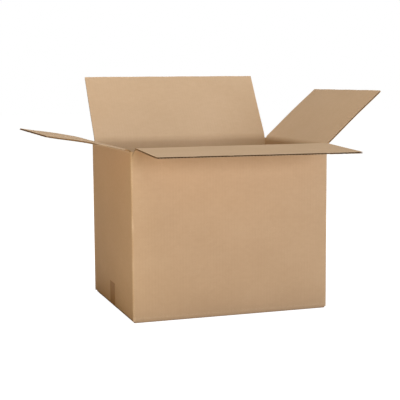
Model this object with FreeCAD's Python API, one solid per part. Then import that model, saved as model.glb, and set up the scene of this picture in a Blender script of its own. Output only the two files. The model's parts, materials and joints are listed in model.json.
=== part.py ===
# Open cardboard box: a regular slotted carton of single-wall corrugated board, standing on its taped base.
# The four walls, the glued corner tab and the four bottom flaps are one folded sheet. The four top flaps are
# that same sheet past their crease lines, and each one is a piece of its own because it swings on its crease.
# A strip of packing tape closes the bottom seam and turns up both end walls.
# Millimetres. The origin is the centre of the base, on the floor: +X to the right, +Y to the back, +Z up.
import FreeCAD
import Part
import math
import os

from FreeCAD import Vector

# What the box holds
inside_length = 500.0
inside_width = 400.0
inside_height = 400.0

# The board: two flat liners with a wavy medium glued between them
board = 4.0
liner = 0.35
medium = 0.3
flute_pitch = 7.8
flute_crest = 1.5
flute_depth = 25.0

# How the blank is cut and scored
fold_inner_radius = 1.0
slot_clearance = 0.5
flap_meeting_gap = 4.0
crease_gap = 0.4
layer_gap = 0.3

# The corner where the two ends of the blank are glued together
tab_width = 35.0
tab_end_clearance = 4.0
tab_taper_angle = 15.0
raw_edge_gap = 0.8
glue_squeeze = 2.0

# The packing tape under the base
tape_width = 50.0
tape_thickness = 0.1
tape_tail = 65.0

# How far each top flap is open, in degrees: 0 is closed, 90 upright, 180 level and outwards
front_open = 182.0
back_open = 123.0
left_open = 169.0
right_open = 138.5

outer_length = inside_length + 2 * board
outer_width = inside_width + 2 * board
fold_outer_radius = fold_inner_radius + board
flap_length = (outer_width - flap_meeting_gap) / 2

# Levels, from the floor up. The end flaps fold first, so their folds lie one board nearer the inside.
side_base = tape_thickness
end_base = side_base + board + layer_gap
end_crease = end_base + board + inside_height + board
side_crease = end_crease + layer_gap + board

# Each wall: the turn that brings it from the front, how far out its outer face is, its stretch between the
# corner folds, and the levels of its bottom fold and its top crease
side_levels = {"base": side_base, "crease": side_crease}
end_levels = {"base": end_base, "crease": end_crease}
long_wall = {"reach": outer_width / 2, "straight": outer_length - 2 * fold_outer_radius, **side_levels}
short_wall = {"reach": outer_length / 2, "straight": outer_width - 2 * fold_outer_radius, **end_levels}
walls = {
    "front": {"turn": 0, **long_wall},
    "right": {"turn": 90, **short_wall},
    "back": {"turn": 180, **long_wall},
    "left": {"turn": 270, **short_wall},
}

UP = Vector(0, 0, 1)
ALONG = Vector(1, 0, 0)
ORIGIN = Vector(0, 0, 0)


def at_wall(shape, name):
    """Brings a shape made at the front wall (outer face on Y = 0, inwards +Y) round to the named wall."""
    placed = shape.copy()
    placed.translate(Vector(0, -walls[name]["reach"], 0))
    placed.rotate(ORIGIN, UP, walls[name]["turn"])
    return placed


def lines(points):
    """Straight edges through the points."""
    return [Part.makeLine(a, b) for a, b in zip(points, points[1:])]


def prism(edges, sweep):
    """The solid that a closed outline of edges sweeps."""
    return Part.Face(Part.Wire(Part.sortEdges(edges)[0])).extrude(sweep)


def polygon_prism(points, sweep):
    """The solid that a closed polygon sweeps."""
    return prism(lines(points + points[:1]), sweep)


def strip(profile, width):
    """A strip of board along a wall, centred on it, from its outline as (inwards, up) points."""
    return polygon_prism([Vector(-width / 2, y, z) for y, z in profile], ALONG * width)


def plan_box(x0, x1, y0, y1):
    """A block over a rectangle of the floor plan, from the end flaps' bottom fold to their top crease."""
    return Part.makeBox(x1 - x0, y1 - y0, end_crease - end_base, Vector(x0, y0, end_base))


def flute_channel(depth):
    """The air under one crest of the medium: a trapezium on the liner, centred on X = 0, running up from Z = 0."""
    rise = board - 2 * liner - medium
    slope = rise / (flute_pitch / 2 - flute_crest)
    medium_across = medium / 2 / math.sin(math.atan(slope))
    wide = flute_crest / 2 + (rise + medium / 2) / slope - medium_across
    narrow = flute_crest / 2 + medium / 2 / slope - medium_across
    ceiling = board - liner - medium
    outline = [(-wide, liner), (wide, liner), (narrow, ceiling), (-narrow, ceiling)]
    return polygon_prism([Vector(x, y, 0) for x, y in outline], UP * depth)


def open_flutes(width):
    """The open ends of every flute at a flap's cut edge, for an upright flap, turned over at every second one."""
    up = flute_channel(flute_depth)
    down = up.mirror(Vector(0, board / 2, 0), Vector(0, 1, 0))
    step = flute_pitch / 2
    count = int((width - flute_pitch) / 2 / step)
    channels = []
    for k in range(-count, count + 1):
        channel = (up if k % 2 == 0 else down).copy()
        channel.translate(Vector(k * step, 0, flap_length - flute_depth))
        channels.append(channel)
    return Part.makeCompound(channels)


def top_flap(name, opened):
    """A top flap: mitred along its crease, which lies on the outer liner, and open-fluted at its cut edge."""
    width = walls[name]["straight"] - 2 * slot_clearance
    root = crease_gap / 2
    profile = [(0, root), (board, root + board), (board, flap_length), (0, flap_length)]
    flap = strip(profile, width).cut(open_flutes(width))
    flap.rotate(ORIGIN, ALONG, opened - 90)
    flap.translate(UP * walls[name]["crease"])
    return at_wall(flap, name)


def bottom_flap(name):
    """A bottom flap with the fold that carries it, round the base edge of its wall."""
    width = walls[name]["straight"]
    base = walls[name]["base"]
    x = -width / 2
    centre = Vector(x, fold_outer_radius, base + fold_outer_radius)
    halfway = Vector(0, -1, -1).normalize()
    outer_start = Vector(x, 0, centre.z)
    outer_end = Vector(x, centre.y, base)
    inner_start = Vector(x, centre.y, base + board)
    inner_end = Vector(x, board, centre.z)
    tip = [Vector(x, flap_length, base), Vector(x, flap_length, base + board)]
    outer_fold = Part.Arc(outer_start, centre + halfway * fold_outer_radius, outer_end).toShape()
    inner_fold = Part.Arc(inner_start, centre + halfway * fold_inner_radius, inner_end).toShape()
    edges = [outer_fold, inner_fold] + lines([outer_end] + tip + [inner_start]) + lines([inner_end, outer_start])
    flap = prism(edges, ALONG * width)
    if name in ("left", "right"):
        ends = open_flutes(width)
        ends.rotate(ORIGIN, ALONG, -90)
        ends.translate(UP * (base + board))
        flap = flap.cut(ends)
    return at_wall(flap, name)


def crease_wedge(name):
    """What is cut off a wall above the mitre on which its top flap swings."""
    edge = walls[name]["crease"] - crease_gap / 2
    above = side_crease + board
    profile = [(0, edge), (board, edge - board), (board, above), (0, above)]
    return at_wall(strip(profile, walls[name]["straight"]), name)


def wall_head(name):
    """The strip that carries a side wall on, past the end flaps' level, up to its own crease."""
    top = walls[name]["crease"]
    profile = [(0, end_crease), (board, end_crease), (board, top), (0, top)]
    return at_wall(strip(profile, walls[name]["straight"]), name)


def fold_room(name):
    """The part of a wall that its bottom fold takes the place of."""
    top = walls[name]["base"] + fold_outer_radius
    profile = [(0, 0), (board, 0), (board, top), (0, top)]
    return at_wall(strip(profile, walls[name]["straight"]), name)


def rounded_block(length, width, radius):
    """An upright block with rounded vertical edges."""
    block = plan_box(-length / 2, length / 2, -width / 2, width / 2)
    upright = [e for e in block.Edges if abs(e.tangentAt(e.FirstParameter).z) > 0.5]
    return block.makeFillet(radius, upright)


def glue_tab(face, root):
    """The tab on the left wall's inner face, from the fold forwards, with its two ends cut at a slant."""
    tip = root - tab_width
    low = end_base + fold_outer_radius + tab_end_clearance
    high = end_crease - board - tab_end_clearance
    slant = tab_width * math.tan(math.radians(tab_taper_angle))
    outline = [(root, low), (root, high), (tip, high - slant), (tip, low + slant)]
    return polygon_prism([Vector(face, y, z) for y, z in outline], ALONG * board)


def glued_corner(left, back, reach):
    """The back left corner: the back wall folds on as a tab, glued inside the left wall's raw edge.

    A line of glue is squeezed out between the raw edge and the fold."""
    centre = Vector(left + reach, back - fold_outer_radius, end_base)
    height = end_crease - end_base
    raw_end = plan_box(left, left + board, back - reach, back - raw_edge_gap)
    turn = Part.makeCylinder(fold_outer_radius, height, centre, UP, 90)
    turn = turn.cut(Part.makeCylinder(fold_inner_radius, height, centre, UP, 90))
    turn.rotate(centre, UP, 90)
    glue = plan_box(left + board, centre.x, centre.y, centre.y + glue_squeeze)
    glue = glue.cut(Part.makeCylinder(fold_outer_radius, height, centre, UP))
    return raw_end.fuse([turn, glue, glue_tab(left + board, centre.y)])


def box_body():
    """The folded sheet without its top flaps: walls, bottom flaps and the glued corner, as one solid."""
    left, back = -outer_length / 2, outer_width / 2
    reach = board + fold_outer_radius
    tube = rounded_block(outer_length, outer_width, fold_outer_radius)
    tube = tube.cut(rounded_block(inside_length, inside_width, fold_inner_radius))
    tube = tube.cut(plan_box(left, left + reach, back - reach, back))
    tube = tube.fuse(glued_corner(left, back, reach))
    tube = tube.fuse([wall_head("front"), wall_head("back")])
    tube = tube.cut([crease_wedge(name) for name in walls])
    tube = tube.cut([fold_room(name) for name in walls])
    return tube.fuse([bottom_flap(name) for name in walls]).removeSplitter()


def tangent_point(start, centre, radius):
    """Where a line from the start touches a circle, on the circle's outer and lower side, in an end wall's plane."""
    away = centre - start
    heading = math.atan2(away.z, away.x) + math.asin(radius / away.Length)
    distance = math.sqrt(away.Length ** 2 - radius ** 2)
    return start + Vector(math.cos(heading), 0, math.sin(heading)) * distance


def tape_face(offset):
    """One face of the tape from the middle of the base to its end on the left wall: its edges and both ends.

    Offset is how far that face lies outside the board. The tape leaves the side flaps at their cut end, touches
    the end flap's fold and runs up the wall."""
    y = -tape_width / 2
    left = -outer_length / 2
    centre = Vector(left + fold_outer_radius, y, end_base + fold_outer_radius)
    corner = Vector(left + fold_outer_radius, y, side_base)
    touch = tangent_point(corner, centre, fold_outer_radius)
    out = (touch - centre).normalize()
    bend = (out - UP) * (offset / (1 - out.z))
    radius = fold_outer_radius + offset
    halfway = (out - ALONG).normalize()
    start = Vector(0, y, side_base - offset)
    touch_at = centre + out * radius
    wall_at = centre - ALONG * radius
    end = Vector(wall_at.x, y, side_base + tape_tail)
    wrap = Part.Arc(touch_at, centre + halfway * radius, wall_at).toShape()
    return lines([start, corner + bend, touch_at]) + [wrap] + lines([wall_at, end]), start, end


def bottom_tape():
    """The tape along the bottom seam, as one bent strip."""
    inner, inner_start, inner_end = tape_face(0)
    outer, outer_start, outer_end = tape_face(tape_thickness)
    ends = lines([inner_end, outer_end]) + lines([inner_start, outer_start])
    half = prism(inner + outer + ends, Vector(0, tape_width, 0))
    return half.fuse(half.mirror(ORIGIN, ALONG)).removeSplitter()


def build():
    """Every separate piece by its name."""
    return {
        "box_body": box_body(),
        "front_flap": top_flap("front", front_open),
        "back_flap": top_flap("back", back_open),
        "left_flap": top_flap("left", left_open),
        "right_flap": top_flap("right", right_open),
        "bottom_tape": bottom_tape(),
    }


os.makedirs("parts", exist_ok=True)
for node, solid in build().items():
    solid.exportStep(f"parts/{node}.step")
    state = "valid" if solid.isValid() else "BROKEN"
    print(node, len(solid.Solids), "solid", round(solid.Volume / 1000, 1), "cm3", state)
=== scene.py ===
# The look of the open cardboard box. Every stretch of board is built as the real sheet is, from two paper
# liners with a wavy medium between them, bent round the part's own walls and creases. The flutes run on
# without a break from each bottom flap, up the wall and out along the top flap.
# Metres, in the part's own frame: +X to the right, +Y to the back, +Z up, the floor at Z = 0.
import json
import math

import bpy
import numpy as np
from mathutils import Matrix, Vector


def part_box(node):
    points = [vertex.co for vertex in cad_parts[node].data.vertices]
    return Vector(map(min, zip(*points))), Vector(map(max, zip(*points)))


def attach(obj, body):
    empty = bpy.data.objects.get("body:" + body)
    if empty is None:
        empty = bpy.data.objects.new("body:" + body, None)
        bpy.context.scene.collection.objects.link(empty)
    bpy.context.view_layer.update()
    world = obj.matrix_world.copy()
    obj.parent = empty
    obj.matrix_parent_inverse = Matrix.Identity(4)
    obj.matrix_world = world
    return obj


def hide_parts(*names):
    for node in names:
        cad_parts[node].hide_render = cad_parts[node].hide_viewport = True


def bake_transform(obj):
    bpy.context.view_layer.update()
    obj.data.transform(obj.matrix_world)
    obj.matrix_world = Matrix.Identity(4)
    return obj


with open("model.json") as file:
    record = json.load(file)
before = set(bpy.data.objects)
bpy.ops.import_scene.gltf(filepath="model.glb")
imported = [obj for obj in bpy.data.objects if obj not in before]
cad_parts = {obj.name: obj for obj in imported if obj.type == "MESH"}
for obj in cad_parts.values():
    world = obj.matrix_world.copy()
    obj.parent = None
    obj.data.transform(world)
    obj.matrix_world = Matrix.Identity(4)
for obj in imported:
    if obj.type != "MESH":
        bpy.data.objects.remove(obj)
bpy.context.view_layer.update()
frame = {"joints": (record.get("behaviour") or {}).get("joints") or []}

MM = 0.001

# The board
board = 4.0 * MM
liner = 0.35 * MM
medium = 0.3 * MM
flute_pitch = 7.8 * MM
liner_sag = 0.09 * MM

# Folds, slots and the glued corner
fold_inner_radius = 1.0 * MM
slot_clearance = 0.5 * MM
flap_meeting_gap = 4.0 * MM
layer_gap = 0.3 * MM
raw_edge_gap = 0.8 * MM
tab_width = 35.0 * MM
tab_end_clearance = 4.0 * MM
tab_taper_angle = 15.0

# The glue line: its bead, how far it lies back from the corner, and how deep its middle and its root are
glue_bead = 0.7 * MM
glue_setback = 0.4 * MM
glue_depth = 2.9 * MM
glue_root = 0.5 * MM

# A crease: how much of the board either side belongs to it, how softly it bends, how far and how flat the
# score presses it, and the short stretch over which the board goes over from the wall to the flap
crease_reach = 12.0 * MM
bend_sag = 1.6 * MM
score_reach = 4.0 * MM
score_thickness = 3.85 * MM

# How uneven the sheet is
wall_bow = 0.7 * MM
cut_unevenness = 0.3 * MM
cut_uneven_reach = 3.0 * MM
crushed_reach = 9.0 * MM
crushed_share = 0.3
pinched_flap = "left"
pinched_reach = 4.0 * MM
pinched_share = 0.42
pinch_fade_share = 0.1
pinch_amount = 0.75
flap_bow = {"front": -0.2 * MM, "back": -1.0 * MM, "left": 2.5 * MM, "right": 1.2 * MM}
front_flap_twist = 2.6 * MM
left_flap_lift = 4.5 * MM
left_lift_rise_share = 0.2
front_slot_pull = 6.0 * MM
front_slot_reach = 40.0 * MM

# How far the rubbing reaches from corners, base, cut edges, side edges and scores
corner_rub = 2.6 * MM
base_rub = 5.0 * MM
cut_edge_rub = 2.5 * MM
side_edge_rub = 2.0 * MM
score_rub = 2.2 * MM

# The packing tape
tape_width = 50.0 * MM
tape_thickness = 0.1 * MM
tape_tail = 65.0 * MM
tape_tooth = 2.0 * MM
tape_tooth_depth = 1.2 * MM
tape_torn_reach = 2.0 * MM
tape_wrinkle = 0.12 * MM
tape_wrinkle_fade = 10.0 * MM
tape_smooth_fold = 12.0 * MM
tape_smooth_end = 4.0 * MM

# How finely the sheet, the glue and the tape are cut into faces
liner_step = flute_pitch / 4
flute_step = flute_pitch / 8
wall_rows = 15
wall_row_power = 1.3
wall_medium_skip = 2
flap_rows = 15
flap_medium_skip = 3
bottom_crushed_rows = 5
top_crushed_rows = 6
fold_steps = 6
crease_shares = [0.02, 0.05, 0.09, 0.14, 0.2, 0.28, 0.38, 0.52, 0.7, 0.88]
glue_step = 3.0 * MM
glue_sides = 6
tape_base_step = 12.0 * MM
tape_tail_step = 3.0 * MM
tape_fold_rows = 7
hair = 0.01 * MM

# The camera: its place, its lens, and its turn, dip and roll in degrees
camera_place = (-0.8678, -2.5561, 0.5838)
camera_lens = 93.16
camera_sensor = 36.0
camera_turn = -18.447
camera_dip = 6.733
camera_roll = -0.402

# The studio: where the lights aim, what the surround and the floor add, and how far the box shades the floor
light_centre = 0.3
surround_light = 0.04
floor_reach = 14.0
floor_level = -0.3 * MM
floor_glow = (0.48, 0.445, 0.37, 1)
floor_bounce = (0.5, 0.5, 0.5, 1)
shade_reach = 0.12

# Sizes that come from the part
body_low, body_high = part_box("box_body")
outer_length = body_high.x - body_low.x
outer_width = body_high.y - body_low.y
hinges = {joint["child"]: joint for joint in frame["joints"]}
end_crease = hinges["left_flap"]["pos_m"][2]
side_crease = hinges["front_flap"]["pos_m"][2]

# Levels from the floor up, and the sizes that follow from those above
flap_length = (outer_width - flap_meeting_gap) / 2
fold_outer_radius = fold_inner_radius + board
side_base = tape_thickness
end_base = side_base + board + layer_gap
base_levels = {"front": side_base, "back": side_base, "left": end_base, "right": end_base}
wall_low = end_base + fold_outer_radius
wall_high = end_crease - crease_reach
flute_swing = (board - 2 * liner - medium) / 2
UP = np.array([0.0, 0.0, 1.0])


# Small helpers for curves

def smooth(x):
    """An even rise from 0 to 1."""
    x = np.clip(x, 0.0, 1.0)
    return x * x * (3 - 2 * x)


def uneven(x, seed):
    """A smooth, irregular curve between about -1 and 1, the same for the same seed."""
    waves = [(0.113, 0.45), (0.047, 0.3), (0.0213, 0.25), (0.0097, 0.2)]
    return sum(
        share * np.sin(2 * np.pi * x / length + seed * 2.4 * (k + 1))
        for k, (length, share) in enumerate(waves))


def spread(low, high, step):
    """Evenly spaced places from low to high, about a step apart."""
    return np.linspace(low, high, max(2, int(math.ceil((high - low) / step)) + 1))


# Sheets of paper, as grids of points

def closed_sheet(face, back, coords, wear, papers):
    """A thin closed sheet between two grids of points of one size.

    Coords are the places on the flat sheet and wear how rubbed it is there. Papers are the material numbers
    of the face, of the back and of the cut edges."""
    columns, rows = face.shape[:2]
    count = columns * rows
    grid = np.arange(count).reshape(columns, rows)
    near = np.stack([grid[:-1, :-1], grid[1:, :-1], grid[1:, 1:], grid[:-1, 1:]], axis=-1).reshape(-1, 4)
    far = near[:, ::-1] + count
    outline = np.concatenate([grid[:, 0], grid[-1, 1:], grid[-2::-1, -1], grid[0, -2:0:-1]])
    ahead = np.roll(outline, -1)
    rim = np.stack([ahead, outline, outline + count, ahead + count], axis=-1)
    numbers = [np.full(len(part), paper) for part, paper in zip((near, far, rim), papers)]
    return {
        "points": np.concatenate([face.reshape(-1, 3), back.reshape(-1, 3)]),
        "faces": np.concatenate([near, far, rim]),
        "papers": np.concatenate(numbers),
        "coords": np.concatenate([coords.reshape(-1, 2)] * 2),
        "wear": np.concatenate([wear.reshape(-1)] * 2),
    }


def liner_depths(across):
    """How deep the outer and the inner face of the board lie. The liners sink a little between flute tips."""
    wave = np.sin(2 * np.pi * across / flute_pitch)
    return liner_sag * (1 + wave) / 2, board - liner_sag * (1 - wave) / 2


def medium_depths(across):
    """How deep the two faces of the wavy medium lie."""
    angle = 2 * np.pi * across / flute_pitch
    slope = flute_swing * 2 * np.pi / flute_pitch * np.cos(angle)
    middle = board / 2 + flute_swing * np.sin(angle)
    half = medium / 2 * np.sqrt(1 + slope ** 2)
    return middle - half, middle + half


def board_sheets(place, wear, across, along, fine_across, few_along):
    """The outer liner, the inner liner and the medium of a stretch of board.

    Place gives the point for (across the flutes, depth in the board, along the flutes)."""
    u, v = np.meshgrid(across, along, indexing="ij")
    outer, inner = liner_depths(u)
    coords = np.stack([u, v], axis=-1)
    rubbed = wear(u, v)
    sheets = [
        closed_sheet(place(u, outer, v), place(u, outer + liner, v), coords, rubbed, (0, 0, 0)),
        closed_sheet(place(u, inner - liner, v), place(u, inner, v), coords, rubbed, (1, 1, 1)),
    ]
    u, v = np.meshgrid(fine_across, few_along, indexing="ij")
    near, far = medium_depths(u)
    coords = np.stack([u, v], axis=-1)
    sheets.append(closed_sheet(place(u, near, v), place(u, far, v), coords, wear(u, v), (2, 2, 2)))
    return sheets


def piece_of_sheets(name, sheets, materials):
    """One mesh object made of closed sheets, with the flat places as UV map and the wear as a value."""
    starts = np.cumsum([0] + [len(sheet["points"]) for sheet in sheets])
    points = np.concatenate([sheet["points"] for sheet in sheets])
    faces = np.concatenate([sheet["faces"] + start for sheet, start in zip(sheets, starts)])
    mesh = bpy.data.meshes.new(name)
    mesh.from_pydata(points.tolist(), [], faces.tolist())
    numbers = np.concatenate([sheet["papers"] for sheet in sheets])
    mesh.polygons.foreach_set("material_index", numbers.astype(np.int32))
    mesh.polygons.foreach_set("use_smooth", np.ones(len(faces), bool))
    coords = np.concatenate([sheet["coords"] for sheet in sheets])[faces.reshape(-1)]
    mesh.uv_layers.new(name="flat_sheet").data.foreach_set("uv", coords.astype(np.float32).reshape(-1))
    wear = mesh.attributes.new("wear", "FLOAT", "POINT")
    wear.data.foreach_set("value", np.concatenate([sheet["wear"] for sheet in sheets]).astype(np.float32))
    for material in materials:
        mesh.materials.append(material)
    mesh.update()
    mesh.set_sharp_from_angle(angle=math.radians(50))
    piece = bpy.data.objects.new(name, mesh)
    bpy.context.scene.collection.objects.link(piece)
    return piece


# The walls: the board goes once round the box, from its raw edge on the left wall to the tip of the glued tab

def legs_round():
    """The board's legs in order: name, straight run, turn in degrees, and the low and the high ends.

    The ends are given at the leg's start and finish."""
    long_run = outer_length - 2 * fold_outer_radius
    short_run = outer_width - 2 * fold_outer_radius
    slant = tab_width * math.tan(math.radians(tab_taper_angle))
    tab_low = wall_low + tab_end_clearance
    tab_high = end_crease - board - tab_end_clearance
    wall = (wall_low, wall_low, wall_high, wall_high)
    post = (end_base, end_base, end_crease, end_crease)
    return [
        ("raw_end", fold_outer_radius - raw_edge_gap, 0, post),
        ("left", short_run, 0, wall),
        ("front_left_corner", 0, 90, post),
        ("front", long_run, 0, wall),
        ("front_right_corner", 0, 90, post),
        ("right", short_run, 0, wall),
        ("back_right_corner", 0, 90, post),
        ("back", long_run - board, 0, wall),
        ("glued_corner", 0, 90, wall),
        ("tab", tab_width, 0, (tab_low, tab_low + slant, tab_high, tab_high - slant)),
    ]


def walk_round():
    """Each leg with its first point, its ways along and inwards, and the board used before and after it."""
    place = np.array([-outer_length / 2, outer_width / 2 - raw_edge_gap, 0.0])
    along = np.array([0.0, -1.0, 0.0])
    used = 0.0
    legs = {}
    for name, run, turn, levels in legs_round():
        inwards = np.cross(UP, along)
        length = run + math.radians(turn) * (fold_outer_radius - board / 2)
        legs[name] = {
            "place": place, "along": along, "inwards": inwards, "turn": turn, "run": run,
            "levels": levels, "start": used, "end": used + length,
        }
        place = place + along * run
        if turn:
            place = place + (along + inwards) * fold_outer_radius
            along = inwards
        used += length
    return legs


legs = walk_round()
long_half = (outer_length - 2 * fold_outer_radius) / 2
short_half = (outer_width - 2 * fold_outer_radius) / 2
half_runs = {"front": long_half, "back": long_half, "left": short_half, "right": short_half}
wall_middles = {name: legs[name]["start"] + half for name, half in half_runs.items()}
corner_middles = [(leg["start"] + leg["end"]) / 2 for leg in legs.values() if leg["turn"]]


def place_on_leg(leg, across, depth, up):
    """Points of the board on one leg of its way round the box."""
    gone = (across - leg["start"])[..., None]
    share = (up - wall_low) / (wall_high - wall_low)
    if leg["turn"]:
        angle = gone / (fold_outer_radius - board / 2)
        centre = leg["place"] + leg["inwards"] * fold_outer_radius
        flat = centre + (leg["along"] * np.sin(angle) - leg["inwards"] * np.cos(angle)) * (
            fold_outer_radius - depth[..., None])
    else:
        bulge = wall_bow * np.sin(np.pi * gone[..., 0] / leg["run"]) * np.sin(np.pi * share)
        bulge = bulge * (leg["run"] > 2 * tab_width)
        flat = leg["place"] + leg["along"] * gone + leg["inwards"] * (depth - bulge)[..., None]
    finished = gone[..., 0] / (leg["end"] - leg["start"])
    low = leg["levels"][0] + (leg["levels"][1] - leg["levels"][0]) * finished
    high = leg["levels"][2] + (leg["levels"][3] - leg["levels"][2]) * finished
    return flat + UP * (low + (high - low) * share)[..., None]


def place_round(across, depth, up):
    """Points of the board anywhere round the box."""
    points = np.zeros(across.shape + (3,))
    for leg in legs.values():
        here = (across >= leg["start"]) & (across <= leg["end"])
        points[here] = place_on_leg(leg, across[here], depth[here], up[here])
    return points


def columns_round(step):
    """Places across the flutes, leg by leg, just inside both ends of each leg."""
    columns = []
    for leg in legs.values():
        fine = (leg["end"] - leg["start"]) / fold_steps if leg["turn"] else step
        columns.append(spread(leg["start"] + hair, leg["end"] - hair, min(step, fine)))
    return np.concatenate(columns)


def wall_wear(across, up):
    """Rubbed along the four corners and a little along the base."""
    corners = sum(np.exp(-((across - middle) / corner_rub) ** 2) for middle in corner_middles)
    base = 0.5 * np.exp(-(up - wall_low) / base_rub)
    return np.clip(corners * (0.55 + 0.3 * uneven(up, 3)) + base, 0, 1)


def walls_and_tab(materials):
    """The four walls, the corners and the glued tab as one sheet of board."""
    rows = wall_low + (wall_high - wall_low) * np.linspace(0, 1, wall_rows) ** wall_row_power
    sheets = board_sheets(
        place_round, wall_wear,
        columns_round(liner_step), rows,
        columns_round(flute_step), rows[::wall_medium_skip],
    )
    return piece_of_sheets("walls_and_glued_tab", sheets, materials)


# Bottom flaps, folded in under the box

def wall_ways(name):
    """A wall's crease: a point on it, the ways along it, out of the box and in."""
    joint = hinges[f"{name}_flap"]
    along = np.array(joint["axis"], float)
    out = np.cross(along, UP)
    return {"hinge": np.array(joint["pos_m"], float), "along": along, "out": out, "in": -out}


def crush_towards_edge(across, depth, reach, seed):
    """The depth in the board where handling has squeezed it near its cut edge."""
    near = smooth(1 - (flap_length - reach) / crushed_reach)
    share = crushed_share * np.clip(uneven(across, seed), 0, 1) * near
    return board / 2 + (depth - board / 2) * (1 - share)


def ragged_edge(across, depth, reach, seed):
    """The reach of a flap's points. The cut edge is a little uneven and differs from layer to layer."""
    near = smooth(1 - (flap_length - reach) / cut_uneven_reach)
    return reach + near * cut_unevenness * uneven(across + depth * 7, seed + 0.5)


def bottom_flap_place(name, base, seed):
    """Places a bottom flap's board, down its wall, round the fold and inwards, and gives its whole length.

    Up runs from its cut edge, which is 0."""
    ways = wall_ways(name)
    foot = ways["hinge"] * np.array([1, 1, 0])
    straight = wall_low - base - fold_outer_radius
    arc = fold_outer_radius * math.pi / 2
    flat = flap_length - fold_outer_radius

    def place(across, depth, up):
        reach = ragged_edge(across, depth, flap_length - up, seed)
        depth = crush_towards_edge(across, depth, reach, seed)
        down = straight + arc + flat - up
        angle = np.clip((down - straight) / fold_outer_radius, 0, math.pi / 2)
        radius = fold_outer_radius - depth
        inwards = fold_outer_radius - radius * np.cos(angle)
        height = base + fold_outer_radius - radius * np.sin(angle)
        height = height + np.clip(straight - down, 0, None)
        beyond = np.clip(reach - fold_outer_radius, 0, None)
        inwards = inwards + np.where(down > straight + arc, beyond, 0)
        spot = (across - wall_middles[name])[..., None]
        return foot + ways["along"] * spot + ways["in"] * inwards[..., None] + UP * height[..., None]

    return place, straight + arc + flat


def no_wear(across, up):
    """Not rubbed at all."""
    return np.zeros(across.shape)


def bottom_flap(name, base, seed, materials):
    """One bottom flap with the fold that carries it."""
    place, total = bottom_flap_place(name, base, seed)
    half = half_runs[name]
    middle = wall_middles[name]
    flat = flap_length - fold_outer_radius
    rows = np.concatenate([
        np.linspace(0, crushed_reach, bottom_crushed_rows)[:-1],
        np.linspace(crushed_reach, flat, flap_rows)[:-1],
        np.linspace(flat, flat + fold_outer_radius * math.pi / 2, fold_steps + 1),
    ])
    if total - rows[-1] > hair:
        rows = np.append(rows, total)
    sheets = board_sheets(
        place, no_wear,
        spread(middle - half, middle + half, liner_step), rows,
        spread(middle - half, middle + half, flute_step), rows,
    )
    return piece_of_sheets(f"{name}_bottom_flap_board", sheets, materials)


# Top flaps and their creases

def flap_ways(name):
    """A top flap's crease and, as it stands open, the ways along the flap and through its board."""
    ways = wall_ways(name)
    opened = math.radians(-hinges[f"{name}_flap"]["range_deg"][0])
    ways["opened"] = opened
    ways["reach"] = UP * math.sin(opened) - ways["out"] * math.cos(opened)
    ways["through"] = -ways["out"] * math.sin(opened) - UP * math.cos(opened)
    return ways


def pinch_side(name, beyond, depth, share):
    """The depth in the board of the flap whose front side edge was squeezed flat near its crease."""
    if name != pinched_flap:
        return depth
    near = smooth(1 + beyond / pinched_reach) * smooth((pinched_share - share) / pinch_fade_share)
    return board / 2 + (depth - board / 2) * (1 - pinch_amount * near)


def warp(name, spot, half, share):
    """How far a flap is warped: the front one's right end hangs and the left one's back end stands up."""
    share = np.clip(share, 0, 1)
    if name == "front":
        return -front_flap_twist * share * (spot + half) / (2 * half)
    if name == "left":
        rise = smooth(share / left_lift_rise_share) * (1 - share) ** 2
        return left_flap_lift * rise * (half - spot) / (2 * half)
    return np.zeros_like(spot)


def slot_pull(name, spot, half, share):
    """How far the front flap's left end is cut back beside its wide corner slot."""
    if name != "front":
        return np.zeros_like(spot)
    return front_slot_pull * smooth(1 - (spot + half) / front_slot_reach) * (1 - np.clip(share, 0, 1))


def top_flap(name, seed, materials):
    """A top flap's board, from where its crease ends to its cut edge."""
    ways = flap_ways(name)
    half = half_runs[name] - slot_clearance
    middle = wall_middles[name]

    def place(across, depth, reach):
        reach = ragged_edge(across, depth, reach, seed)
        depth = crush_towards_edge(across, depth, reach, seed)
        share = (reach - crease_reach) / (flap_length - crease_reach)
        depth = pinch_side(name, across - middle - half, depth, share)
        depth = depth + flap_bow[name] * np.sin(np.pi * np.clip(share, 0, 1)) ** 2
        depth = depth + warp(name, across - middle, half, share)
        spot = (across - middle + slot_pull(name, across - middle, half, share))[..., None]
        return ways["hinge"] + ways["along"] * spot + ways["reach"] * reach[..., None] + (
            ways["through"] * depth[..., None])

    def wear(across, reach):
        tip = np.exp(-(flap_length - reach) / cut_edge_rub)
        side = np.exp(-(half - np.abs(across - middle)) / side_edge_rub)
        return np.clip(tip * (0.75 + 0.25 * uneven(across, seed + 2)) + 0.6 * side, 0, 1)

    rows = np.concatenate([
        np.linspace(crease_reach, flap_length - crushed_reach, flap_rows)[:-1],
        np.linspace(flap_length - crushed_reach, flap_length, top_crushed_rows),
    ])
    sheets = board_sheets(
        place, wear,
        spread(middle - half, middle + half, liner_step), rows,
        spread(middle - half, middle + half, flute_step), rows[::flap_medium_skip],
    )
    return piece_of_sheets(f"{name}_flap_board", sheets, materials)


def crease_path(ways, flat):
    """Where the outer face runs before (-) or beyond (+) the hinge line, and the way to the inner face.

    The board cuts the corner a little, as it bends softly."""
    turn = ways["opened"] - math.pi / 2
    soft = min(crease_reach, 2 * bend_sag / math.sin(turn / 2))
    share = min(max((flat / soft + 1) / 2, 0.0), 1.0)
    before = min(flat + soft, 0.0) - soft * (1 - share) ** 2
    beyond = max(flat - soft, 0.0) + soft * share ** 2
    inwards = ways["in"] * (1 - share) + ways["through"] * share
    return UP * before + ways["reach"] * beyond, inwards / np.linalg.norm(inwards)


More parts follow.
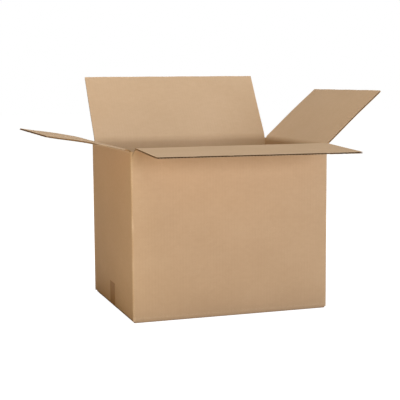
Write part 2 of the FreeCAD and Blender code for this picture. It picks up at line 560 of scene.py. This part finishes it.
def crease(name, seed, materials):
    """The scored board that bends between a wall and its top flap, a little thinner along the score."""
    ways = flap_ways(name)
    half = half_runs[name] - slot_clearance
    middle = wall_middles[name]
    across = spread(middle - half, middle + half, liner_step)
    spot = across - middle
    pull = slot_pull(name, spot, half, 0.0)
    outer_face, inner_face = liner_depths(across)
    loose = 1 + 0.3 * uneven(across, seed) + 0.1 * np.sin(2 * np.pi * across / flute_pitch)
    steps = np.array(crease_shares) * crease_reach
    stations = np.concatenate([[wall_high - ways["hinge"][2]], -steps[::-1], steps, [crease_reach]])
    outer, inner = [], []
    for flat in stations:
        place, inwards = crease_path(ways, flat)
        fade = smooth(abs(flat) / crease_reach)
        scored = (board - score_thickness) * math.exp(-(flat / score_reach) ** 2) * loose
        deep = board - fade * (board - inner_face) - scored
        pulled = spot + pull * smooth(1 + flat / crease_reach)
        line = ways["hinge"] + ways["along"] * pulled[:, None] + place
        outer.append(line + inwards * (fade * outer_face)[:, None])
        inner.append(line + inwards * deep[:, None])
    u, v = np.meshgrid(across, stations, indexing="ij")
    rubbed = 0.4 * np.exp(-(v / score_rub) ** 2) * (0.7 + 0.3 * uneven(u, seed + 1))
    coords = np.stack([u, v + side_crease], axis=-1)
    # The crease's cut ends are solid board. The dark fluting paper on them is painted shade of open flutes.
    sheet = closed_sheet(
        np.stack(outer, axis=1), np.stack(inner, axis=1), coords, np.clip(rubbed, 0, 1), (0, 1, 2))
    piece = piece_of_sheets(f"{name}_crease", [sheet], materials)
    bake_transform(piece)
    return piece


# The glue line and the tape

def glue_line(material):
    """Glue squeezed out along the raw edge, as an uneven bead in the crack beside the glued corner's fold."""
    leg = legs["glued_corner"]
    heights = spread(wall_low + tab_end_clearance, wall_high - tab_end_clearance, glue_step)
    turns = np.linspace(0.85, 0.15, glue_sides) * math.pi
    u, v = np.meshgrid(turns, heights, indexing="ij")
    size = glue_bead * (1 + 0.5 * uneven(v, 8))
    side = leg["along"]
    out = -leg["inwards"]
    centre = leg["place"] + side * (fold_outer_radius - glue_setback) - out * glue_depth
    round_bead = side * np.cos(u)[..., None] + out * np.sin(u)[..., None]
    bulge = centre + round_bead * size[..., None] + UP * v[..., None]
    flat = centre + side * (np.cos(u) * size)[..., None] - out * glue_root + UP * v[..., None]
    sheet = closed_sheet(bulge, flat, np.stack([u * MM, v], axis=-1), np.zeros(u.shape), (0, 0, 0))
    return piece_of_sheets("glue_line", [sheet], [material])


def tape_path():
    """The tape's inner face from the middle of the base to its end on the left wall, as close stations.

    It leaves the side flaps at their end, touches the end flap's fold and runs up the wall."""
    left = -outer_length / 2
    centre = np.array([left + fold_outer_radius, end_base + fold_outer_radius])
    drop = centre[1] - side_base
    touch = 1.5 * math.pi - math.acos(fold_outer_radius / drop)
    angles = np.linspace(touch, math.pi, tape_fold_rows)
    fold = [centre + fold_outer_radius * np.array([math.cos(a), math.sin(a)]) for a in angles]
    base = [np.array([x, side_base]) for x in spread(centre[0], 0.0, tape_base_step)[::-1]]
    wall = [np.array([left, z]) for z in spread(centre[1], side_base + tape_tail, tape_tail_step)[1:]]
    return np.array(base + fold + wall)


def tape(material):
    """The packing tape: flat under the base, lightly wrinkled up the end walls, with toothed torn ends."""
    half = tape_path()
    path = np.concatenate([half[::-1], half[1:] * np.array([-1, 1])])
    used = np.concatenate([[0], np.cumsum(np.linalg.norm(np.diff(path, axis=0), axis=1))])
    way = np.gradient(path, used, axis=0)
    way = way / np.linalg.norm(way, axis=1)[:, None]
    out = np.stack([way[:, 1], -way[:, 0]], axis=-1)
    wide = np.linspace(-tape_width / 2, tape_width / 2, int(4 * tape_width / tape_tooth) + 1)
    y, along = np.meshgrid(wide, used, indexing="ij")
    from_end = np.minimum(along, used[-1] - along)
    tooth = np.abs((y / tape_tooth) % 1 - 0.5) * 2 * tape_tooth_depth
    along = along + tooth * smooth(1 - from_end / tape_torn_reach) * np.sign(used[-1] / 2 - along)
    tail = smooth((tape_tail - tape_smooth_fold - from_end) / tape_wrinkle_fade)
    stuck = smooth(1 - from_end / tape_smooth_end)
    lift = tape_wrinkle * tail * (0.5 + 0.5 * uneven(y * 2.3 + along * 0.8, 5)) * (1 - stuck)
    centre = np.stack([np.interp(along, used, path[:, 0]), y, np.interp(along, used, path[:, 1])], axis=-1)
    away = np.stack([np.interp(along, used, out[:, 0]), 0 * y, np.interp(along, used, out[:, 1])], axis=-1)
    away = away / np.linalg.norm(away, axis=-1)[..., None]
    up_wall = np.clip((centre[..., 2] - wall_low) / (wall_high - wall_low), 0, 1)
    lift = lift + wall_bow * np.sin(np.pi * up_wall)
    inner = centre + away * (lift + hair)[..., None]
    outer = centre + away * (lift + tape_thickness)[..., None]
    sheet = closed_sheet(outer, inner, np.stack([along, y], axis=-1), np.zeros(y.shape), (0, 0, 0))
    return piece_of_sheets("bottom_tape_film", [sheet], [material])


# Building shader trees

def node(tree, kind, inputs=None, **settings):
    """A new shader node with its settings, and its inputs set to a value or linked to a socket."""
    made = tree.nodes.new(kind)
    for name, value in settings.items():
        setattr(made, name, value)
    for name, value in (inputs or {}).items():
        if isinstance(value, bpy.types.NodeSocket):
            tree.links.new(value, made.inputs[name])
        else:
            made.inputs[name].default_value = value
    return made


def maths(tree, operation, first, second=0.0, third=0.0):
    """The value of a sum on two or three values."""
    made = node(tree, "ShaderNodeMath", {0: first, 1: second, 2: third}, operation=operation)
    return made.outputs[0]


def blend_colours(tree, share, first, second):
    """The first colour going over to the second as the share goes from 0 to 1."""
    made = node(tree, "ShaderNodeMix", {0: share, 6: first, 7: second}, data_type="RGBA")
    return made.outputs[2]


def remap(tree, value, low, high, to_low=0.0, to_high=1.0):
    """The value stretched from one range to another, and held inside it."""
    inputs = {"Value": value, "From Min": low, "From Max": high, "To Min": to_low, "To Max": to_high}
    return node(tree, "ShaderNodeMapRange", inputs).outputs["Result"]


def effect(name, inputs, outputs):
    """A new node group: its tree, what comes in and what goes out, all as values."""
    group = bpy.data.node_groups.new(name, "ShaderNodeTree")
    for label, value in inputs.items():
        socket = group.interface.new_socket(name=label, in_out="INPUT", socket_type="NodeSocketFloat")
        socket.default_value = value
    for label in outputs:
        group.interface.new_socket(name=label, in_out="OUTPUT", socket_type="NodeSocketFloat")
    given = group.nodes.new("NodeGroupInput").outputs
    result = group.nodes.new("NodeGroupOutput").inputs
    return group, given, result


def give(tree, value, socket):
    """Links a value to a socket."""
    tree.links.new(value, socket)


def flat_noise(tree, flat, size_across, size_along, detail=3.0, roughness=0.55):
    """Noise on the flat sheet, whose patches have these sizes across and along the flutes."""
    scale = (1 / size_across, 1 / size_along, 1.0)
    scaled = node(tree, "ShaderNodeMapping", {"Vector": flat, "Scale": scale})
    inputs = {"Vector": scaled.outputs[0], "Scale": 1.0, "Detail": detail, "Roughness": roughness}
    return node(tree, "ShaderNodeTexNoise", inputs, noise_dimensions="2D").outputs["Fac"]


def flat_place(tree):
    """The place on the flat sheet."""
    return node(tree, "ShaderNodeUVMap", uv_map="flat_sheet").outputs["UV"]


# Effects that several papers share

def paper_grain():
    """Recycled pulp: cloudy patches, fibres that lie along the paper web, and dark flecks."""
    shown = ["Clouds", "Fibres", "Flecks", "Height"]
    tree, given, result = effect("paper_grain", {"Fleck Limit": 0.7}, shown)
    flat = flat_place(tree)
    broad = flat_noise(tree, flat, 140 * MM, 90 * MM, 2.0)
    patches = flat_noise(tree, flat, 16 * MM, 9 * MM, 4.0, 0.6)
    fibres = flat_noise(tree, flat, 4.0 * MM, 0.5 * MM, 3.0, 0.6)
    specks = flat_noise(tree, flat, 0.9 * MM, 0.55 * MM, 2.0, 0.5)
    clouds = maths(tree, "MULTIPLY_ADD", broad, 0.5, maths(tree, "MULTIPLY", patches, 0.5))
    give(tree, remap(tree, clouds, 0.35, 0.65), result["Clouds"])
    give(tree, remap(tree, fibres, 0.3, 0.7), result["Fibres"])
    limit_end = maths(tree, "ADD", given["Fleck Limit"], 0.06)
    give(tree, remap(tree, specks, given["Fleck Limit"], limit_end), result["Flecks"])
    height = maths(tree, "MULTIPLY_ADD", fibres, 0.7, maths(tree, "MULTIPLY", patches, 0.3))
    give(tree, height, result["Height"])
    return tree


def flute_lines():
    """Painted shade: faint darker lines at the flute pitch that stand in for the shading of the washboard
    ripple, stronger in some places than others.
    """
    tree, given, result = effect("flute_lines", {"Strength": 1.0}, ["Lines"])
    flat = flat_place(tree)
    across = node(tree, "ShaderNodeSeparateXYZ", {"Vector": flat}).outputs["X"]
    wave = maths(tree, "SINE", maths(tree, "MULTIPLY", across, 2 * math.pi / flute_pitch))
    band_shade = maths(tree, "POWER", maths(tree, "MULTIPLY_ADD", wave, -0.5, 0.5), 2.0)
    fading = remap(tree, flat_noise(tree, flat, 60 * MM, 130 * MM, 2.0), 0.35, 0.65, 0.35, 1.0)
    shown = maths(tree, "MULTIPLY", maths(tree, "MULTIPLY", band_shade, fading), given["Strength"])
    give(tree, shown, result["Lines"])
    return tree


def edge_wear():
    """Where folds and cut edges are rubbed, broken up by the fibres."""
    tree, given, result = effect("edge_wear", {"Amount": 1.0}, ["Mask"])
    rubbed = node(tree, "ShaderNodeAttribute", attribute_name="wear").outputs["Fac"]
    broken = flat_noise(tree, flat_place(tree), 5 * MM, 2.5 * MM, 4.0, 0.65)
    both = maths(tree, "MULTIPLY_ADD", broken, 0.9, maths(tree, "MULTIPLY", rubbed, given["Amount"]))
    give(tree, remap(tree, both, 0.75, 1.35), result["Mask"])
    return tree


def scuffs():
    """Light scratches from handling, in a few places."""
    tree, given, result = effect("scuffs", {"Amount": 1.0}, ["Marks"])
    flat = flat_place(tree)
    bent = flat_noise(tree, flat, 45 * MM, 60 * MM, 2.0)
    thin = flat_noise(tree, flat, 30 * MM, 6 * MM, 5.0, 0.7)
    line = maths(tree, "ABSOLUTE", maths(tree, "SUBTRACT", thin, 0.5))
    marks = maths(tree, "MULTIPLY", remap(tree, line, 0.012, 0.0), remap(tree, bent, 0.56, 0.66))
    give(tree, maths(tree, "MULTIPLY", marks, given["Amount"]), result["Marks"])
    return tree


effects = {"grain": paper_grain(), "lines": flute_lines(), "wear": edge_wear(), "scuffs": scuffs()}


def use(tree, name, **inputs):
    """One of the shared effects, with its values."""
    made = node(tree, "ShaderNodeGroup", node_tree=effects[name])
    for label, value in inputs.items():
        made.inputs[label.replace("_", " ")].default_value = value
    return made.outputs


def new_material(name):
    """An empty node material and its shader."""
    material = bpy.data.materials.new(name)
    material.use_nodes = True
    tree = material.node_tree
    tree.nodes.clear()
    shader = node(tree, "ShaderNodeBsdfPrincipled")
    output = node(tree, "ShaderNodeOutputMaterial")
    give(tree, shader.outputs["BSDF"], output.inputs["Surface"])
    return material, tree, shader


def kraft(name, dark, light, line, fleck, worn, lines, wear):
    """A brown kraft paper. Flute shade says how strongly the painted shade of the flute bands shows, and wear
    how strongly the rubbing shows.
    """
    material, tree, shader = new_material(name)
    grain = use(tree, "grain", Fleck_Limit=0.68)
    band_shade = use(tree, "lines", Strength=lines)["Lines"]
    rubbed = use(tree, "wear", Amount=wear)["Mask"]
    marks = use(tree, "scuffs", Amount=0.35)["Marks"]
    colour = blend_colours(tree, grain["Clouds"], dark, light)
    colour = blend_colours(tree, maths(tree, "MULTIPLY", grain["Fibres"], 0.2), colour, light)
    # Painted shade: the line colour darkens the paper in bands at the flute pitch.
    colour = blend_colours(tree, band_shade, colour, line)
    colour = blend_colours(tree, maths(tree, "MULTIPLY", grain["Flecks"], 0.3), colour, fleck)
    colour = blend_colours(tree, marks, colour, worn)
    colour = blend_colours(tree, rubbed, colour, worn)
    give(tree, colour, shader.inputs["Base Color"])
    give(tree, remap(tree, grain["Fibres"], 0.0, 1.0, 0.58, 0.74), shader.inputs["Roughness"])
    height = maths(tree, "MULTIPLY_ADD", marks, -0.4, grain["Height"])
    bump = node(tree, "ShaderNodeBump", {"Height": height, "Distance": 0.06 * MM, "Strength": 0.8})
    give(tree, bump.outputs["Normal"], shader.inputs["Normal"])
    shader.inputs["Specular IOR Level"].default_value = 0.25
    shader.inputs["IOR"].default_value = 1.45
    return material


def tape_film(name):
    """Thin brown packing tape: a smooth film with the board's flutes and some trapped air showing through."""
    material, tree, shader = new_material(name)
    flat = flat_place(tree)
    air = flat_noise(tree, flat, 7 * MM, 5 * MM, 4.0, 0.6)
    drawn = flat_noise(tree, flat, 90 * MM, 1.2 * MM, 3.0)
    colour = blend_colours(tree, remap(tree, air, 0.4, 0.62), (0.34, 0.18, 0.068, 1), (0.4, 0.222, 0.09, 1))
    colour = blend_colours(tree, remap(tree, drawn, 0.5, 0.8, 0.0, 0.35), colour, (0.27, 0.138, 0.05, 1))
    give(tree, colour, shader.inputs["Base Color"])
    give(tree, remap(tree, air, 0.3, 0.7, 0.42, 0.58), shader.inputs["Roughness"])
    height = maths(tree, "MULTIPLY_ADD", air, 0.6, maths(tree, "MULTIPLY", drawn, 0.4))
    bump = node(tree, "ShaderNodeBump", {"Height": height, "Distance": 0.05 * MM, "Strength": 0.6})
    give(tree, bump.outputs["Normal"], shader.inputs["Normal"])
    shader.inputs["IOR"].default_value = 1.48
    shader.inputs["Specular IOR Level"].default_value = 0.12
    return material


def dried_glue(name):
    """Dried starch glue: pale amber, a little glossy, with fine lumps."""
    material, tree, shader = new_material(name)
    lumps = flat_noise(tree, flat_place(tree), 2 * MM, 2 * MM, 3.0)
    colour = blend_colours(tree, lumps, (0.42, 0.28, 0.15, 1), (0.62, 0.47, 0.29, 1))
    give(tree, colour, shader.inputs["Base Color"])
    give(tree, remap(tree, lumps, 0.3, 0.7, 0.3, 0.5), shader.inputs["Roughness"])
    bump = node(tree, "ShaderNodeBump", {"Height": lumps, "Distance": 0.1 * MM})
    give(tree, bump.outputs["Normal"], shader.inputs["Normal"])
    return material


# The studio

def pale_floor():
    """A plain pale floor that the box stands on. It lights the box more weakly than it looks."""
    mesh = bpy.data.meshes.new("floor")
    signs = [(-1, -1), (1, -1), (1, 1), (-1, 1)]
    corners = [(x * floor_reach, y * floor_reach, floor_level) for x, y in signs]
    mesh.from_pydata(corners, [], [(0, 1, 2, 3)])
    floor = bpy.data.objects.new("floor", mesh)
    bpy.context.scene.collection.objects.link(floor)
    material, tree, seen = new_material("pale_floor")
    seen.inputs["Base Color"].default_value = (0.4, 0.4, 0.4, 1)
    seen.inputs["Roughness"].default_value = 0.9
    seen.inputs["Specular IOR Level"].default_value = 0.1
    seen.inputs["Emission Color"].default_value = (1, 1, 1, 1)
    seen.inputs["Emission Strength"].default_value = 0.99
    bounce = node(tree, "ShaderNodeBsdfDiffuse", {"Color": floor_bounce})
    point = node(tree, "ShaderNodeNewGeometry").outputs["Position"]
    place = node(tree, "ShaderNodeSeparateXYZ", {"Vector": point})
    beside = maths(tree, "SUBTRACT", maths(tree, "ABSOLUTE", place.outputs["X"]), outer_length / 2)
    before = maths(tree, "SUBTRACT", maths(tree, "ABSOLUTE", place.outputs["Y"]), outer_width / 2)
    away = remap(tree, maths(tree, "MAXIMUM", beside, before), 0.0, shade_reach)
    glow = node(tree, "ShaderNodeEmission", {"Color": floor_glow, "Strength": away})
    lighting = node(tree, "ShaderNodeAddShader", {0: bounce.outputs[0], 1: glow.outputs[0]})
    rays = node(tree, "ShaderNodeLightPath")
    both = node(tree, "ShaderNodeMixShader", {
        0: rays.outputs["Is Camera Ray"], 1: lighting.outputs[0], 2: seen.outputs[0]})
    give(tree, both.outputs[0], tree.nodes["Material Output"].inputs["Surface"])
    mesh.materials.append(material)


def white_surround():
    """A white studio all round. It looks fully white, and lights the box more weakly than it looks."""
    world = bpy.data.worlds.new("studio")
    bpy.context.scene.world = world
    world.use_nodes = True
    tree = world.node_tree
    tree.nodes.clear()
    seen = node(tree, "ShaderNodeBackground", {"Color": (1, 1, 1, 1), "Strength": 1.0})
    lit = node(tree, "ShaderNodeBackground", {"Color": (1.0, 0.985, 0.96, 1), "Strength": surround_light})
    rays = node(tree, "ShaderNodeLightPath")
    both = node(tree, "ShaderNodeMixShader", {
        0: rays.outputs["Is Camera Ray"], 1: lit.outputs[0], 2: seen.outputs[0]})
    output = node(tree, "ShaderNodeOutputWorld")
    give(tree, both.outputs[0], output.inputs["Surface"])


def softbox(name, side, height, distance, wide, tall, power, tint):
    """A soft light aimed at the middle of the box. Side and height are the angles of its place in degrees."""
    light = bpy.data.lights.new(name, "AREA")
    light.shape = "RECTANGLE"
    light.size = wide
    light.size_y = tall
    light.energy = power
    light.color = tint
    holder = bpy.data.objects.new(name, light)
    turn = Matrix.Rotation(math.radians(side), 3, "Z") @ Matrix.Rotation(math.radians(-height), 3, "X")
    aim = turn @ Vector((0, 1, 0))
    holder.location = Vector((0, 0, light_centre)) - aim * distance
    holder.rotation_euler = aim.to_track_quat("-Z", "Y").to_euler()
    bpy.context.scene.collection.objects.link(holder)


def camera():
    """The camera of the photograph."""
    data = bpy.data.cameras.new("camera")
    data.lens = camera_lens
    data.sensor_width = camera_sensor
    data.clip_end = 60.0
    holder = bpy.data.objects.new("camera", data)
    turn = Matrix.Rotation(math.radians(camera_turn), 4, "Z")
    tilt = Matrix.Rotation(math.radians(90 - camera_dip), 4, "X")
    roll = Matrix.Rotation(math.radians(camera_roll), 4, "Z")
    holder.matrix_world = Matrix.Translation(camera_place) @ turn @ tilt @ roll
    bpy.context.scene.collection.objects.link(holder)
    bpy.context.scene.camera = holder


# The papers

# Each paper's line colour is the painted shade of its flute bands.
outer_liner = kraft(
    "outer_kraft_liner", dark=(0.535, 0.352, 0.204, 1), light=(0.565, 0.376, 0.222, 1),
    line=(0.48, 0.31, 0.175, 1), fleck=(0.3, 0.18, 0.1, 1), worn=(0.66, 0.48, 0.31, 1), lines=0.16, wear=1.0)
inner_liner = kraft(
    "inner_kraft_liner", dark=(0.55, 0.37, 0.222, 1), light=(0.58, 0.395, 0.243, 1),
    line=(0.5, 0.33, 0.19, 1), fleck=(0.31, 0.19, 0.11, 1), worn=(0.68, 0.5, 0.33, 1), lines=0.12, wear=0.9)
# Fluting medium and cut ends: a dark brown that is partly the medium's own colour and partly painted shade of
# the open flutes seen end-on in cut edges.
dark_fluting_and_flute_shade = kraft(
    "fluting_paper", dark=(0.29, 0.16, 0.07, 1), light=(0.35, 0.205, 0.095, 1),
    line=(0.29, 0.16, 0.072, 1), fleck=(0.18, 0.1, 0.05, 1), worn=(0.44, 0.29, 0.17, 1), lines=0.0, wear=0.4)
papers = [outer_liner, inner_liner, dark_fluting_and_flute_shade]


# The pieces

walls = walls_and_tab(papers)
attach(walls, "box")
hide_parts("box_body")

for seed, (name, base) in enumerate(base_levels.items()):
    below = bottom_flap(name, base, seed + 10, papers)
    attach(below, "box")
    flap = top_flap(name, seed, papers)
    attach(flap, f"{name}_flap")
    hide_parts(f"{name}_flap")
    fold = crease(name, seed + 4, papers)

glue = glue_line(dried_glue("dried_glue"))
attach(glue, "box")

film = tape(tape_film("packing_tape_film"))
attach(film, "box")
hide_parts("bottom_tape")

pale_floor()
white_surround()
softbox("front_strip_light", 16, 8, distance=3.5, wide=2.0, tall=0.8, power=50, tint=(1.0, 1.08, 1.24))
softbox("high_softbox", -20, 65, distance=3.5, wide=2.0, tall=2.0, power=47, tint=(1.0, 1.05, 0.84))
softbox("top_softbox", 0, 88, distance=3.5, wide=2.6, tall=2.6, power=50, tint=(1.0, 1.04, 1.3))
softbox("left_softbox", -60, 10, distance=2.0, wide=1.0, tall=1.0, power=7.5, tint=(1.0, 0.68, 0.3))
softbox("right_softbox", 90, 30, distance=3.5, wide=2.0, tall=2.0, power=5, tint=(1.0, 0.86, 0.68))
softbox("back_softbox", 180, 8, distance=3.5, wide=2.0, tall=2.0, power=16, tint=(1.0, 0.82, 0.62))
camera()
bpy.context.scene.view_settings.view_transform = "Standard"
